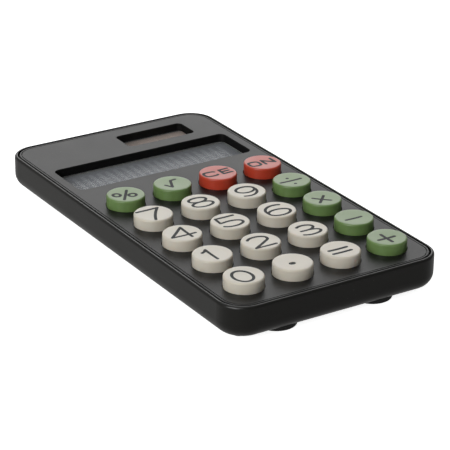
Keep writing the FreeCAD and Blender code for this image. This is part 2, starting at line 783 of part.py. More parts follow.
def make_side_contact():
    """Leaf against the side of the cell, with a tail for the wire."""
    body = new_body("battery_contact_plus")
    thick, wide = Dims.contact_thickness, Dims.contact_width
    face = Dims.cell_radius + Dims.thread_clearance
    low = floor_top + Dims.rib_clearance
    block(body, "leaf", -(face + thick / 2), well_y, thick, wide, low, tail_top)
    tail = Dims.contact_reach - face
    block(body, "tail", -(face + tail / 2), well_y, tail, wide, tail_top - thick, tail_top)
    return body


def make_top_contact():
    """Plate under the roof of the well with a leaf that is bent down onto the cell and turned up at its end."""
    feature = doc.addObject("Part::Feature", "battery_contact_minus")
    feature.Label = "battery_contact_minus"
    thick, wide, reach = (size.number for size in (Dims.contact_thickness, Dims.contact_width, Dims.contact_reach))
    high, touch, y = tail_top.number, cell_top.number, well_y.number
    root, flat = -Dims.leaf_reach.number, Dims.leaf_flat.number
    under = high - thick
    lower = [(root, under), (0, touch), (flat, touch), (2 * flat, (touch + under) / 2)]
    upper = [(x, z + thick) for x, z in reversed(lower)]
    plate = [(root, under), (reach, under), (reach, high), (root, high)]
    solids = []
    for outline in (lower + upper, plate):
        corners = [FreeCAD.Vector(x, y - wide / 2, z) for x, z in outline]
        face = Part.Face(Part.makePolygon(corners + corners[:1]))
        solids.append(face.extrude(FreeCAD.Vector(0, wide, 0)))
    feature.Shape = solids[0].fuse(solids[1]).removeSplitter()
    return feature


def make_battery_cover():
    body = new_body("battery_cover")
    plate = Dims.cover_width, cover_length, Dims.cover_corner
    slab(body, "plate", centre, cover_y, *plate, base, cover_top)
    shank = Dims.cover_shank_radius + Dims.hole_clearance
    head = Dims.cover_head_radius + Dims.cover_clearance
    sunk = base + Dims.cover_head_height
    rod(body, "shank_hole", centre, cover_screw_y, shank, base, cover_top, cut=True)
    cone(body, "head_hole", centre, cover_screw_y, head, shank, base, sunk, cut=True)
    return body


# ---------------------------------------------------------------- screws


def screw(name, x, y, head_radius, shank_radius, head_low, head_high, shank_high, taper=False):
    """A screw that goes up from below, with a slot across its head."""
    if taper:
        cone_sizes = {"Radius1": head_radius, "Radius2": shank_radius, "Height": head_high - head_low}
        head = bound_part("Cone", f"{name}_head", x, y, head_low, **cone_sizes)
    else:
        head = bound_part("Cylinder", f"{name}_head", x, y, head_low, Radius=head_radius, Height=head_high - head_low)
    shank_height = shank_high - head_low - Dims.slot_depth
    shank_low = head_low + Dims.slot_depth
    shank = bound_part("Cylinder", f"{name}_shank", x, y, shank_low, Radius=shank_radius, Height=shank_height)
    whole = doc.addObject("Part::Fuse", f"{name}_whole")
    whole.Base, whole.Tool = head, shank
    slot_sizes = {"Length": 2 * head_radius, "Width": Dims.slot_width, "Height": Dims.slot_depth}
    slot_y = y - Dims.slot_width / 2
    slot = bound_part("Box", f"{name}_slot", x - head_radius, slot_y, head_low, **slot_sizes)
    finished = doc.addObject("Part::Cut", name)
    finished.Base, finished.Tool = whole, slot
    return finished


def make_screws():
    case_screws = []
    for number, (x, y) in enumerate(all_case_screw_places):
        low = base + Dims.case_head_sink
        heights = low, low + Dims.case_head_height, pilot_end - Dims.thread_clearance
        radii = Dims.case_head_radius, Dims.case_shank_radius
        case_screws.append(screw(f"case_screw{number}", x, y, *radii, *heights))
    board_screws = []
    for number, (x, y) in enumerate(board_screw_places):
        heights = board_under - Dims.board_head_height, board_under, board_top + Dims.board_shank_reach
        radii = Dims.board_head_radius, Dims.board_shank_radius
        board_screws.append(screw(f"board_screw{number}", x, y, *radii, *heights))
    radii = Dims.cover_head_radius, Dims.cover_shank_radius
    heights = base, base + Dims.cover_head_height, cover_top + Dims.cover_shank_reach
    cover_screw = screw("battery_cover_screw", centre, cover_screw_y, *radii, *heights, taper=True)
    groups = [joined("Compound", "case_screws", case_screws), joined("Compound", "board_screws", board_screws)]
    return groups + [cover_screw]


# ---------------------------------------------------------------- the whole calculator

nodes = [make_rear_case(), make_front_panel()]
nodes += make_feet()
nodes += make_keys()
nodes += [make_key_mat(), make_circuit_board(), make_chip_cover()]
resistor = Dims.resistor_length, Dims.resistor_width, Dims.resistor_height
capacitor = Dims.capacitor_length, Dims.capacitor_width, Dims.capacitor_height
nodes += [small_parts("resistors", -1, 5, *resistor), small_parts("capacitors", 1, 3, *capacitor)]
nodes += make_display()
nodes += make_solar_unit()
nodes += [make_button_cell(), make_side_contact(), make_top_contact(), make_battery_cover()]
nodes += make_wires()
nodes += make_screws()

doc.recompute()
for thing in doc.Objects:
    if "Invalid" in thing.State or "Error" in thing.State:
        raise RuntimeError(f"{thing.Label} failed: {thing.State}")
for node in nodes:
    if node.Shape.isNull() or not node.Shape.isValid():
        raise RuntimeError(f"{node.Label} has no valid shape")

os.makedirs("parts", exist_ok=True)
for node in nodes:
    node.Shape.exportStep(os.path.join("parts", f"{node.Label}.step"))
    box = node.Shape.BoundBox
    print(f"{node.Label:24s} {len(node.Shape.Solids):2d} {node.Shape.Volume:10.1f} mm3  z {box.ZMin:.2f} to {box.ZMax:.2f}")
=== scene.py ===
"""Desk calculator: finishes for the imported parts, moulded key caps with their legends, and a plain white studio."""
import math

import bpy
import numpy as np
from mathutils import Matrix, Vector


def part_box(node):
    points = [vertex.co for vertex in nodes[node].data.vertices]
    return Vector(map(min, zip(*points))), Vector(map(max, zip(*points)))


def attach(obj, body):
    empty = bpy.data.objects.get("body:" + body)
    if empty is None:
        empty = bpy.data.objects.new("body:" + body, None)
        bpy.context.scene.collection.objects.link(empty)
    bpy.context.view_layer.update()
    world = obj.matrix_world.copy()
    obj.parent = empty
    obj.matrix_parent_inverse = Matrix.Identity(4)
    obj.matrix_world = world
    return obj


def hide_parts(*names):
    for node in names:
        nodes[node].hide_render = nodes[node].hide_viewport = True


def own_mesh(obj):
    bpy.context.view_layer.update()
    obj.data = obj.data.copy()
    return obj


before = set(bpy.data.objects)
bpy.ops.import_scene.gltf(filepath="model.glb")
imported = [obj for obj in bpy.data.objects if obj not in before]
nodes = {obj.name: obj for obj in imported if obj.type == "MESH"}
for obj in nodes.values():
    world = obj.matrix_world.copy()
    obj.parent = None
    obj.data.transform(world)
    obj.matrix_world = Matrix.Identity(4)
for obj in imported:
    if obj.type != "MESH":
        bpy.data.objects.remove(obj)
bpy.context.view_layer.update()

MM = 0.001
CASING = "casing"

# key caps, in millimetres, measured from the top face of a cap
CAP_RADIUS = 7.15
CAP_EDGE_ROUND = 0.6
CAP_DISH = 0.14
CAP_WALL = 1.2
CAP_ROOF = 1.4
FLANGE_RADIUS = 8.1
FLANGE_FLAT = 7.9
FLANGE_HEIGHT = 0.8
PLUNGER_RADIUS = 2.6
CAP_SEGMENTS = 128

# printed legends, in millimetres
LEGEND_CENTRE = (-0.7, -0.7)
LEGEND_LINE = 1.12
INK_THICKNESS = 0.02
INK_SINK = 0.05
STROKE_STEP = 0.12
STROKE_SIDES = 10

# silicone mat and its domes, in millimetres
MAT_THICKNESS = 1.0
MAT_CORNER = 2.0
MAT_EDGE = 0.2
DOME_BASE_RADIUS = 5.2
DOME_TOP_RADIUS = 3.0
DOME_WALL = 0.7
DOME_CROWN = 0.9
DOME_ROOT = 0.2
DOME_EDGE = 0.35
DOME_SEGMENTS = 48
PILL_RADIUS = 1.8

# display digits, in millimetres
DIGIT_COUNT = 10
DIGIT_PITCH = 7.2
DIGIT_WIDTH = 5.35
DIGIT_HEIGHT = 20.0
DIGIT_LINE = 1.75
DIGIT_CROSSBAR = 0.4
DIGIT_GAP = 0.05
DIGIT_THICKNESS = 0.008

# walls of the recesses and key holes: fade in metres, how much painted shade darkens them, and how much duller than
# the face they are
RECESS_FADE = 0.0003
RECESS_PAINTED_SHADE = 0.75
RECESS_DULLER = 0.3

# windows and feet, in millimetres
PANE_EDGE = 0.25
DISPLAY_PANE_CORNER, DISPLAY_PANE_LIFT = 3.8, 0.06
SOLAR_PANE_CORNER, SOLAR_PANE_LIFT = 3.2, 0.02
FOOT_EDGE = 0.5
TREAD_MARGIN = 0.3
TREAD_PITCH = 2.1
TREAD_DEPTH = 0.22
TREAD_CENTRE = 0.6

# grip ribs and arrow on the battery cover, in millimetres
GRIP_ROWS = 4
GRIP_START = 2.0
GRIP_PITCH = 1.3
GRIP_REACH = 4.5
GRIP_WIDTH = 0.6
GRIP_HEIGHT = 0.35
GRIP_SINK = 0.1
GRIP_ARROW = [(-2.0, -0.6), (0, 0.8), (2.0, -0.6)]

# studio light: brightness of the tent above and below the horizon, and of the glow off the table
TENT_ABOVE = 0.10
TENT_BELOW = 0.19
TABLE_GLOW = 0.25
GLOW_DIRECTION = (12, -24)
HORIZON_SOFTNESS = 0.10
FLOOR_SIZE = 6.0
FLOOR_GLOW = 0.90
FLOOR_GLOW_UNSEEN = 0.4

# softboxes: name, azimuth and elevation in degrees, distance and size in metres, power in watts
SOFTBOXES = [
    ("backdrop_softbox", 32.6, 27, 1.5, 1.1, 7.0),
    ("overhead_softbox", 0, 78, 1.3, 1.0, 2.8),
    ("front_softbox", 246, 28, 1.4, 0.8, 12.0),
]

# camera: angles in degrees, aim point, distance, lens and sensor in millimetres
CAMERA_AZIMUTH = 32.607
CAMERA_ELEVATION = 24.193
CAMERA_ROLL = 0.687
CAMERA_AIM = (2.744, -3.256, 4.580)
CAMERA_DISTANCE = 788.11
CAMERA_LENS = 169.86
CAMERA_SENSOR = 36.0

WHITE_KEYS = ["0", "point", "equals", "1", "2", "3", "4", "5", "6", "7", "8", "9"]
GREEN_KEYS = ["plus", "minus", "times", "divide", "percent", "root"]
RED_KEYS = ["ce", "on"]


# ---------------------------------------------------------------- surfaces


def ring_grid(rows, columns, first=0):
    """Quads between neighbouring rings: each ring has the given number of points and closes on itself."""
    row, column = np.meshgrid(np.arange(rows - 1), np.arange(columns), indexing="ij")
    after = (column + 1) % columns
    here, below = row * columns, (row + 1) * columns
    corners = [here + column, below + column, below + after, here + after]
    return np.stack(corners, axis=-1).reshape(-1, 4) + first


def closed_rings(rings, start_pole, end_pole):
    """Closed shell from rings of points, shape (rows, columns, 3), with a pole joined to the first and last ring."""
    rows, columns, _ = rings.shape
    points = np.concatenate([rings.reshape(-1, 3), [start_pole, end_pole]])
    here = np.arange(columns)
    after = (here + 1) % columns
    start, end, last = rows * columns, rows * columns + 1, (rows - 1) * columns
    start_fan = np.stack([np.full(columns, start), here, after], axis=-1)
    end_fan = np.stack([np.full(columns, end), last + after, last + here], axis=-1)
    return points, [ring_grid(rows, columns), start_fan, end_fan]


def revolved(profile, centre, segments, flat=None):
    """A (radius, height) profile turned about the upright line through centre.

    Point (i, a) = centre + (radius_i cos a, radius_i sin a, height_i). The profile runs from the top middle
    outwards and down to the bottom middle. With flat, x is held between -flat and +flat, which trims two sides.
    """
    profile = np.asarray(profile, float)
    angle = np.linspace(0, 2 * np.pi, segments, endpoint=False)
    radius, height = profile[1:-1, 0:1], profile[1:-1, 1:2]
    across = radius * np.cos(angle)
    if flat is not None:
        across = np.clip(across, -flat, flat)
    rings = np.stack([across, radius * np.sin(angle), np.broadcast_to(height, across.shape)], axis=-1)
    rings = rings + np.asarray(centre, float)
    poles = [np.asarray(centre, float) + (0, 0, profile[end, 1]) for end in (0, -1)]
    return closed_rings(rings, *poles)


def evenly_along(path, step):
    """Points at equal distances along a polyline, no more than step apart."""
    path = np.asarray(path, float)
    travelled = np.concatenate([[0], np.cumsum(np.linalg.norm(np.diff(path, axis=0), axis=1))])
    places = np.linspace(0, travelled[-1], max(2, int(np.ceil(travelled[-1] / step)) + 1))
    return np.stack([np.interp(places, travelled, path[:, axis]) for axis in (0, 1)], axis=-1)


def stroke(path, width, surface, thickness, sink):
    """A flat line with round ends drawn along a path on a surface.

    Across the path the section is half an oval: sideways = cos b, up = thickness sin b above the surface, and
    -sink below it. Within half a width of each end the section narrows as the square root of 1 - d squared,
    with d the distance past the end over half the width, so the ends are half circles.
    """
    line = evenly_along(path, STROKE_STEP)
    ahead = line[1] - line[0], line[-1] - line[-2]
    ahead = [step / np.linalg.norm(step) for step in ahead]
    cap = np.sin(np.linspace(0, np.pi / 2, 7))[1:] * 0.999
    cap_start = line[0] - ahead[0] * (cap[::-1, None] * width / 2)
    cap_end = line[-1] + ahead[1] * (cap[:, None] * width / 2)
    narrow = np.sqrt(1 - cap**2)
    centre_line = np.concatenate([cap_start, line, cap_end])
    half = np.concatenate([narrow[::-1], np.ones(len(line)), narrow]) * width / 2
    tangent = np.gradient(centre_line, axis=0)
    tangent /= np.linalg.norm(tangent, axis=1, keepdims=True)
    left = np.stack([-tangent[:, 1], tangent[:, 0]], axis=-1)
    turn = np.linspace(0, 2 * np.pi, STROKE_SIDES, endpoint=False)[::-1]
    flat = centre_line[:, None] + left[:, None] * (half[:, None] * np.cos(turn))[..., None]
    rise = np.where(np.sin(turn) > 0.01, thickness * np.sqrt(np.abs(np.sin(turn))), -sink * (np.sin(turn) < -0.01))
    height = surface(flat) + np.minimum(half[:, None] / (width / 2) + 0.4, 1) * rise
    rings = np.concatenate([flat, height[..., None]], axis=-1)
    poles = [np.append(rings[end, :, :2].mean(axis=0), rings[end, :, 2].mean()) for end in (0, -1)]
    return closed_rings(rings, *poles)


def flat_at(height):
    """A flat surface for strokes to lie on: the same height at every point."""
    return lambda points: np.full(points.shape[:-1], height)


def arc(x, y, radius_x, radius_y, start, end, power=1.0):
    """Points of an oval about (x, y) from the start angle to the end angle, in degrees.

    Point = (x, y) + (radius_x, radius_y) times the cosine and sine of the angle, each raised to the power with its
    sign kept: a power of 1 gives an ellipse and a smaller power a squarer oval.
    """
    angle = np.radians(np.linspace(start, end, 73))
    around = np.stack([np.cos(angle), np.sin(angle)], axis=-1)
    return (x, y) + np.sign(around) * np.abs(around) ** power * (radius_x, radius_y)


def bars(*points):
    """Straight strokes from each point to the next."""
    return [np.array([here, after], float) for here, after in zip(points, points[1:])]


def bow(start, control, end):
    """A curved stroke: the quadratic blend of start, control and end."""
    t = np.linspace(0, 1, 33)[:, None]
    start, control, end = (np.array(point, float) for point in (start, control, end))
    return (1 - t) ** 2 * start + 2 * t * (1 - t) * control + t**2 * end


def put_piece(name, shells, material, body, sharp=35):
    """One mesh object, in metres, from shells in millimetres. It rides on a body and carries the given material."""
    points, faces, first = [], [], 0
    for shell_points, shell_faces in shells:
        points.append(shell_points)
        for group in shell_faces:
            faces.extend((group + first).tolist())
        first += len(shell_points)
    mesh = bpy.data.meshes.new(name)
    mesh.from_pydata((np.concatenate(points) * MM).tolist(), [], faces)
    mesh.polygons.foreach_set("use_smooth", np.ones(len(mesh.polygons), bool))
    mesh.set_sharp_from_angle(angle=math.radians(sharp))
    mesh.materials.append(material)
    mesh.update()
    piece = bpy.data.objects.new(name, mesh)
    bpy.context.scene.collection.objects.link(piece)
    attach(piece, body)
    return piece


# ---------------------------------------------------------------- node helpers


def add_node(tree, kind, settings=None, **inputs):
    """A node with its settings, and its inputs set to values or joined to other sockets. _ in a name is a space."""
    made = tree.nodes.new(kind)
    for name, value in (settings or {}).items():
        setattr(made, name, value)
    for name, value in inputs.items():
        socket = made.inputs[int(name[1:])] if name[0] == "_" else made.inputs[name.replace("_", " ")]
        if isinstance(value, bpy.types.NodeSocket):
            tree.links.new(value, socket)
        else:
            socket.default_value = value
    return made


def new_group(name, inputs, outputs):
    """An empty shader node group with named float and colour sockets, and its input and output nodes."""
    group = bpy.data.node_groups.new(name, "ShaderNodeTree")
    for label, kind, value in inputs:
        socket = group.interface.new_socket(name=label, in_out="INPUT", socket_type=f"NodeSocket{kind}")
        socket.default_value = value
    for label, kind in outputs:
        group.interface.new_socket(name=label, in_out="OUTPUT", socket_type=f"NodeSocket{kind}")
    return group, group.nodes.new("NodeGroupInput"), group.nodes.new("NodeGroupOutput")


def use_group(tree, group, **inputs):
    return add_node(tree, "ShaderNodeGroup", {"node_tree": group}, **inputs)


def maths(tree, operation, first, second=0.0, third=0.0):
    return add_node(tree, "ShaderNodeMath", {"operation": operation}, _0=first, _1=second, _2=third).outputs[0]


def object_place(tree):
    return tree.nodes.new("ShaderNodeTexCoord").outputs["Object"]


def make_moulded_grain():
    """Spark-eroded mould texture: fine pits, a slow drift of tone, and patches that are a little glossier."""
    sockets = [
        ("Colour", "Color", (0.5, 0.5, 0.5, 1)),
        ("Tone Drift", "Float", 0.1),
        ("Pits Per Metre", "Float", 4000.0),
        ("Roughness", "Float", 0.4),
        ("Gloss Drift", "Float", 0.1),
    ]
    outputs = [("Colour", "Color"), ("Roughness", "Float"), ("Height", "Float")]
    group, given, out = new_group("moulded_grain", sockets, outputs)
    place = object_place(group)
    fineness = given.outputs["Pits Per Metre"]
    pits = add_node(group, "ShaderNodeTexNoise", Vector=place, Scale=fineness, Detail=2.0).outputs["Fac"]
    patch = add_node(group, "ShaderNodeTexNoise", Vector=place, Scale=55.0, Detail=4.0, Roughness=0.6).outputs["Fac"]
    signed = maths(group, "SUBTRACT", patch, 0.5)
    tone = maths(group, "MULTIPLY_ADD", signed, given.outputs["Tone Drift"], 1.0)
    colour = add_node(group, "ShaderNodeVectorMath", {"operation": "SCALE"}, _0=given.outputs["Colour"], Scale=tone)
    speckle = maths(group, "MULTIPLY", maths(group, "SUBTRACT", pits, 0.5), 0.35)
    drift = maths(group, "MULTIPLY", maths(group, "ADD", signed, speckle), given.outputs["Gloss Drift"])
    rough = maths(group, "ADD", given.outputs["Roughness"], drift)
    group.links.new(colour.outputs["Vector"], out.inputs["Colour"])
    group.links.new(rough, out.inputs["Roughness"])
    group.links.new(pits, out.inputs["Height"])
    return group


def make_settled_dust():
    """Faint dust: pale specks that lighten the colour and dull the gloss where they lie."""
    sockets = [("Colour", "Color", (0.5, 0.5, 0.5, 1)), ("Roughness", "Float", 0.4), ("Amount", "Float", 0.3)]
    outputs = [("Colour", "Color"), ("Roughness", "Float"), ("Mask", "Float")]
    group, given, out = new_group("settled_dust", sockets, outputs)
    place = object_place(group)
    specks = add_node(group, "ShaderNodeTexVoronoi", Vector=place, Scale=520.0, Randomness=1.0).outputs["Distance"]
    haze = add_node(group, "ShaderNodeTexNoise", Vector=place, Scale=38.0, Detail=5.0).outputs["Fac"]
    limits = {"From_Min": 0.11, "From_Max": 0.03}
    dots = add_node(group, "ShaderNodeMapRange", {"clamp": True}, Value=specks, **limits).outputs[0]
    limits = {"From_Min": 0.5, "From_Max": 0.72}
    where = add_node(group, "ShaderNodeMapRange", {"clamp": True}, Value=haze, **limits).outputs[0]
    mask = maths(group, "MULTIPLY", maths(group, "MULTIPLY", dots, where), given.outputs["Amount"])
    mixed = add_node(group, "ShaderNodeMix", {"data_type": "RGBA"})
    group.links.new(mask, mixed.inputs["Factor"])
    group.links.new(given.outputs["Colour"], mixed.inputs[6])
    mixed.inputs[7].default_value = (0.42, 0.40, 0.37, 1)
    group.links.new(mixed.outputs[2], out.inputs["Colour"])
    dulled = maths(group, "MULTIPLY_ADD", mask, 0.4, given.outputs["Roughness"])
    group.links.new(dulled, out.inputs["Roughness"])
    group.links.new(mask, out.inputs["Mask"])
    return group


def make_drawn_metal():
    """Rolled or turned metal: fine lines along one axis that change its tone, gloss and height."""
    sockets = [
        ("Colour", "Color", (0.6, 0.6, 0.6, 1)),
        ("Lines Per Metre", "Float", 3000.0),
        ("Roughness", "Float", 0.3),
        ("Tarnish", "Float", 0.1),
    ]
    outputs = [("Colour", "Color"), ("Roughness", "Float"), ("Height", "Float")]
    group, given, out = new_group("drawn_metal", sockets, outputs)
    place = object_place(group)
    stretch = {"_0": place, "_1": (0.04, 1.0, 0.4)}
    stretched = add_node(group, "ShaderNodeVectorMath", {"operation": "MULTIPLY"}, **stretch).outputs[0]
    scale = given.outputs["Lines Per Metre"]
    lines = add_node(group, "ShaderNodeTexNoise", Vector=stretched, Scale=scale, Detail=3.0).outputs["Fac"]
    stain = add_node(group, "ShaderNodeTexNoise", Vector=place, Scale=300.0, Detail=5.0).outputs["Fac"]
    shade = maths(group, "MULTIPLY", maths(group, "SUBTRACT", stain, 0.35), given.outputs["Tarnish"])
    tone = maths(group, "SUBTRACT", maths(group, "MULTIPLY_ADD", lines, 0.16, 0.92), shade)
    colour = add_node(group, "ShaderNodeVectorMath", {"operation": "SCALE"}, _0=given.outputs["Colour"], Scale=tone)
    rough = maths(group, "ADD", maths(group, "MULTIPLY_ADD", lines, 0.12, given.outputs["Roughness"]), shade)
    group.links.new(colour.outputs["Vector"], out.inputs["Colour"])
    group.links.new(rough, out.inputs["Roughness"])
    group.links.new(lines, out.inputs["Height"])
    return group


moulded_grain = make_moulded_grain()
settled_dust = make_settled_dust()
drawn_metal = make_drawn_metal()


# ---------------------------------------------------------------- finishes


def new_finish(name):
    """A material with only its Principled BSDF and output left in it."""
    material = bpy.data.materials.new(f"finish_{name}")
    material.use_nodes = True
    return material, material.node_tree, material.node_tree.nodes["Principled BSDF"]


def rgba(colour):
    return (*colour, 1.0)


def add_bump(tree, shader, height, depth, strength):
    made = add_node(tree, "ShaderNodeBump", Height=height, Distance=depth * MM, Strength=strength)
    tree.links.new(made.outputs["Normal"], shader.inputs["Normal"])
    return made


def moulded(name, colour, rough, tone=0.12, gloss=0.10, pits=4200.0, depth=0.012, strength=0.3, dust=0.2, **fixed):
    """Injection-moulded plastic or rubber: mould grain, a drift of tone and gloss, and a trace of dust."""
    material, tree, shader = new_finish(name)
    sizes = {"Tone_Drift": tone, "Pits_Per_Metre": pits, "Roughness": rough, "Gloss_Drift": gloss}
    grain = use_group(tree, moulded_grain, Colour=rgba(colour), **sizes)
    inputs = {"Colour": grain.outputs["Colour"], "Roughness": grain.outputs["Roughness"], "Amount": dust}
    dusted = use_group(tree, settled_dust, **inputs)
    tree.links.new(dusted.outputs["Colour"], shader.inputs["Base Color"])
    tree.links.new(dusted.outputs["Roughness"], shader.inputs["Roughness"])
    add_bump(tree, shader, grain.outputs["Height"], depth, strength)
    for socket, value in fixed.items():
        shader.inputs[socket.replace("_", " ")].default_value = value
    return material


def paint_shade_below(material, height):
    """Paints shade into a finish under a height in metres, where walls and holes go down from the face: painted shade
    makes the colour darker, and the finish is also duller.
    """
    tree = material.node_tree
    shader = tree.nodes["Principled BSDF"]
    level = add_node(tree, "ShaderNodeSeparateXYZ", Vector=object_place(tree)).outputs["Z"]
    limits = {"From_Min": height - RECESS_FADE, "From_Max": height, "To_Min": 1.0, "To_Max": 0.0}
    deep = add_node(tree, "ShaderNodeMapRange", {"clamp": True}, Value=level, **limits).outputs[0]
    colour, rough = (shader.inputs[name].links[0].from_socket for name in ("Base Color", "Roughness"))
    # painted shade: the colour is darkened on the walls below the face height
    keep = maths(tree, "SUBTRACT", 1.0, maths(tree, "MULTIPLY", deep, RECESS_PAINTED_SHADE))
    darker = add_node(tree, "ShaderNodeVectorMath", {"operation": "SCALE"}, _0=colour, Scale=keep)
    duller = maths(tree, "ADD", rough, maths(tree, "MULTIPLY", deep, RECESS_DULLER))
    tree.links.new(darker.outputs["Vector"], shader.inputs["Base Color"])
    tree.links.new(duller, shader.inputs["Roughness"])


def metal(name, colour, rough, lines=3000.0, tarnish=0.2, strength=0.25):
    """Bare or plated metal with drawing lines and a little tarnish."""
    material, tree, shader = new_finish(name)
    sizes = {"Lines_Per_Metre": lines, "Roughness": rough, "Tarnish": tarnish}
    drawn = use_group(tree, drawn_metal, Colour=rgba(colour), **sizes)
    tree.links.new(drawn.outputs["Colour"], shader.inputs["Base Color"])
    tree.links.new(drawn.outputs["Roughness"], shader.inputs["Roughness"])
    shader.inputs["Metallic"].default_value = 1.0
    add_bump(tree, shader, drawn.outputs["Height"], 0.006, strength)
    return material


def clear_sheet(name, colour, alpha):
    """Clear acrylic window: mostly see-through, glossy, with faint waviness and a trace of dust."""
    material, tree, shader = new_finish(name)
    sizes = {"Tone_Drift": 0.05, "Pits_Per_Metre": 160.0, "Roughness": 0.12, "Gloss_Drift": 0.05}
    grain = use_group(tree, moulded_grain, Colour=rgba(colour), **sizes)
    inputs = {"Colour": grain.outputs["Colour"], "Roughness": grain.outputs["Roughness"], "Amount": 0.5}
    dusted = use_group(tree, settled_dust, **inputs)
    tree.links.new(dusted.outputs["Colour"], shader.inputs["Base Color"])
    tree.links.new(dusted.outputs["Roughness"], shader.inputs["Roughness"])
    seen = maths(tree, "MULTIPLY_ADD", dusted.outputs["Mask"], 0.5, alpha)
    tree.links.new(seen, shader.inputs["Alpha"])
    add_bump(tree, shader, grain.outputs["Height"], 0.01, 0.2)
    shader.inputs["Specular IOR Level"].default_value = 0.10
    return material


def striped(name, base, line, axis, pitch, width, rough, offset=0.0, strength=0.0):
    """A sheet with straight lines across it, at a pitch and of a width in millimetres, from one axis of its place."""
    material, tree, shader = new_finish(name)
    split = add_node(tree, "ShaderNodeSeparateXYZ", Vector=object_place(tree))
    along = maths(tree, "DIVIDE", maths(tree, "SUBTRACT", split.outputs[axis], offset * MM), pitch * MM)
    cycle = maths(tree, "ABSOLUTE", maths(tree, "SUBTRACT", maths(tree, "FRACT", along), 0.5))
    edge = width / pitch / 2
    limits = {"From_Min": edge * 1.25, "From_Max": edge * 0.75}
    mask = add_node(tree, "ShaderNodeMapRange", {"clamp": True}, Value=cycle, **limits).outputs[0]
    mixed = add_node(tree, "ShaderNodeMix", {"data_type": "RGBA"}, Factor=mask)
    mixed.inputs[6].default_value = rgba(base)
    mixed.inputs[7].default_value = rgba(line)
    grain = use_group(tree, moulded_grain, Tone_Drift=0.15, Pits_Per_Metre=2600.0, Roughness=rough, Gloss_Drift=0.1)
    tree.links.new(mixed.outputs[2], grain.inputs["Colour"])
    tree.links.new(grain.outputs["Colour"], shader.inputs["Base Color"])
    tree.links.new(grain.outputs["Roughness"], shader.inputs["Roughness"])
    if strength:
        add_bump(tree, shader, mask, 0.03, strength)
    return material


WAXY = {"Subsurface_Weight": 0.3, "Subsurface_Scale": 1.2 * MM, "Subsurface_Radius": (1.0, 0.8, 0.6)}
SATIN_FILM = {"tone": 0.10, "pits": 900.0, "depth": 0.004, "Specular_IOR_Level": 0.2}
BOARD_GREEN, TRACK_GREEN = (0.03, 0.16, 0.06), (0.06, 0.24, 0.09)

finishes = {
    "case_plastic": moulded("case_plastic", (0.0085, 0.0083, 0.0070), 0.34, pits=3600.0, strength=0.35),
    "panel_plastic": moulded("panel_plastic", (0.0085, 0.0085, 0.0080), 0.38, strength=0.30, Specular_IOR_Level=0.2),
    "key_white": moulded("key_white", (0.668, 0.622, 0.528), 0.30, tone=0.05, depth=0.006, dust=0.1, **WAXY),
    "key_green": moulded("key_green", (0.162, 0.262, 0.088), 0.30, tone=0.06, depth=0.006, dust=0.15, **WAXY),
    "key_red": moulded("key_red", (0.54, 0.060, 0.028), 0.30, tone=0.06, depth=0.006, dust=0.15, **WAXY),
    "foot_rubber": moulded("foot_rubber", (0.014, 0.014, 0.013), 0.75, pits=2400.0, depth=0.03, dust=0.6),
    "silicone": moulded("silicone", (0.46, 0.48, 0.47), 0.55, tone=0.08, pits=1500.0),
    "board_laminate": striped("board_laminate", BOARD_GREEN, TRACK_GREEN, 0, 1.9, 0.7, 0.35, strength=0.4),
    "black_resin": moulded("black_resin", (0.012, 0.012, 0.013), 0.28, tone=0.2, pits=700.0, depth=0.05),
    "component_black": moulded("component_black", (0.02, 0.02, 0.022), 0.45, pits=6000.0),
    "component_tan": moulded("component_tan", (0.42, 0.30, 0.17), 0.50, pits=6000.0),
    "clear_window": clear_sheet("clear_window", (0.80, 0.82, 0.83), 0.10),
    "polariser_film": moulded("polariser_film", (0.098, 0.110, 0.130), 0.42, **SATIN_FILM),
    "lcd_glass": moulded("lcd_glass", (0.22, 0.26, 0.25), 0.08, tone=0.04, pits=300.0, depth=0.002),
    "reflector_film": metal("reflector_film", (0.70, 0.72, 0.70), 0.42, lines=2000.0),
    "foam": moulded("foam", (0.06, 0.06, 0.065), 0.95, pits=1300.0, depth=0.25, strength=0.8),
    "connector_rubber": striped("connector_rubber", (0.50, 0.42, 0.42), (0.02, 0.02, 0.02), 0, 0.8, 0.4, 0.6),
    "frame_plastic": moulded("frame_plastic", (0.55, 0.55, 0.52), 0.45),
    "solar_glass": striped("solar_glass", (0.44, 0.33, 0.27), (0.58, 0.48, 0.41), 0, 7.2, 0.22, 0.30, offset=-0.9),
    "cell_steel": metal("cell_steel", (0.62, 0.61, 0.58), 0.26),
    "contact_metal": metal("contact_metal", (0.66, 0.60, 0.44), 0.24),
    "wire_insulation": moulded("wire_insulation", (0.40, 0.03, 0.025), 0.45, pits=5000.0),
    "screw_steel": metal("screw_steel", (0.50, 0.50, 0.49), 0.30, lines=5000.0),
}
DULL_INK = {"tone": 0.25, "pits": 9000.0, "dust": 0.1, "Specular_IOR_Level": 0.25}
legend_ink = moulded("legend_ink", (0.030, 0.031, 0.030), 0.62, **DULL_INK)
segment_film = moulded("segment_film", (0.152, 0.167, 0.192), 0.42, **SATIN_FILM)

face_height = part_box("front_panel")[1].z
# painted shade on the panel's recess and key-hole walls below its face
paint_shade_below(finishes["panel_plastic"], face_height - RECESS_FADE)

for node in nodes.values():
    for holder in node.material_slots:
        holder.material = finishes[holder.material.name.split(".")[0]]


# ---------------------------------------------------------------- key caps


def dish(points):
    """Height of a cap's top face: a shallow bowl, CAP_DISH deep in the middle and level at the rounded edge."""
    reach = (points[..., 0] ** 2 + points[..., 1] ** 2) / (CAP_RADIUS - CAP_EDGE_ROUND) ** 2
    return -CAP_DISH * np.clip(1 - reach, 0, 1) ** 2


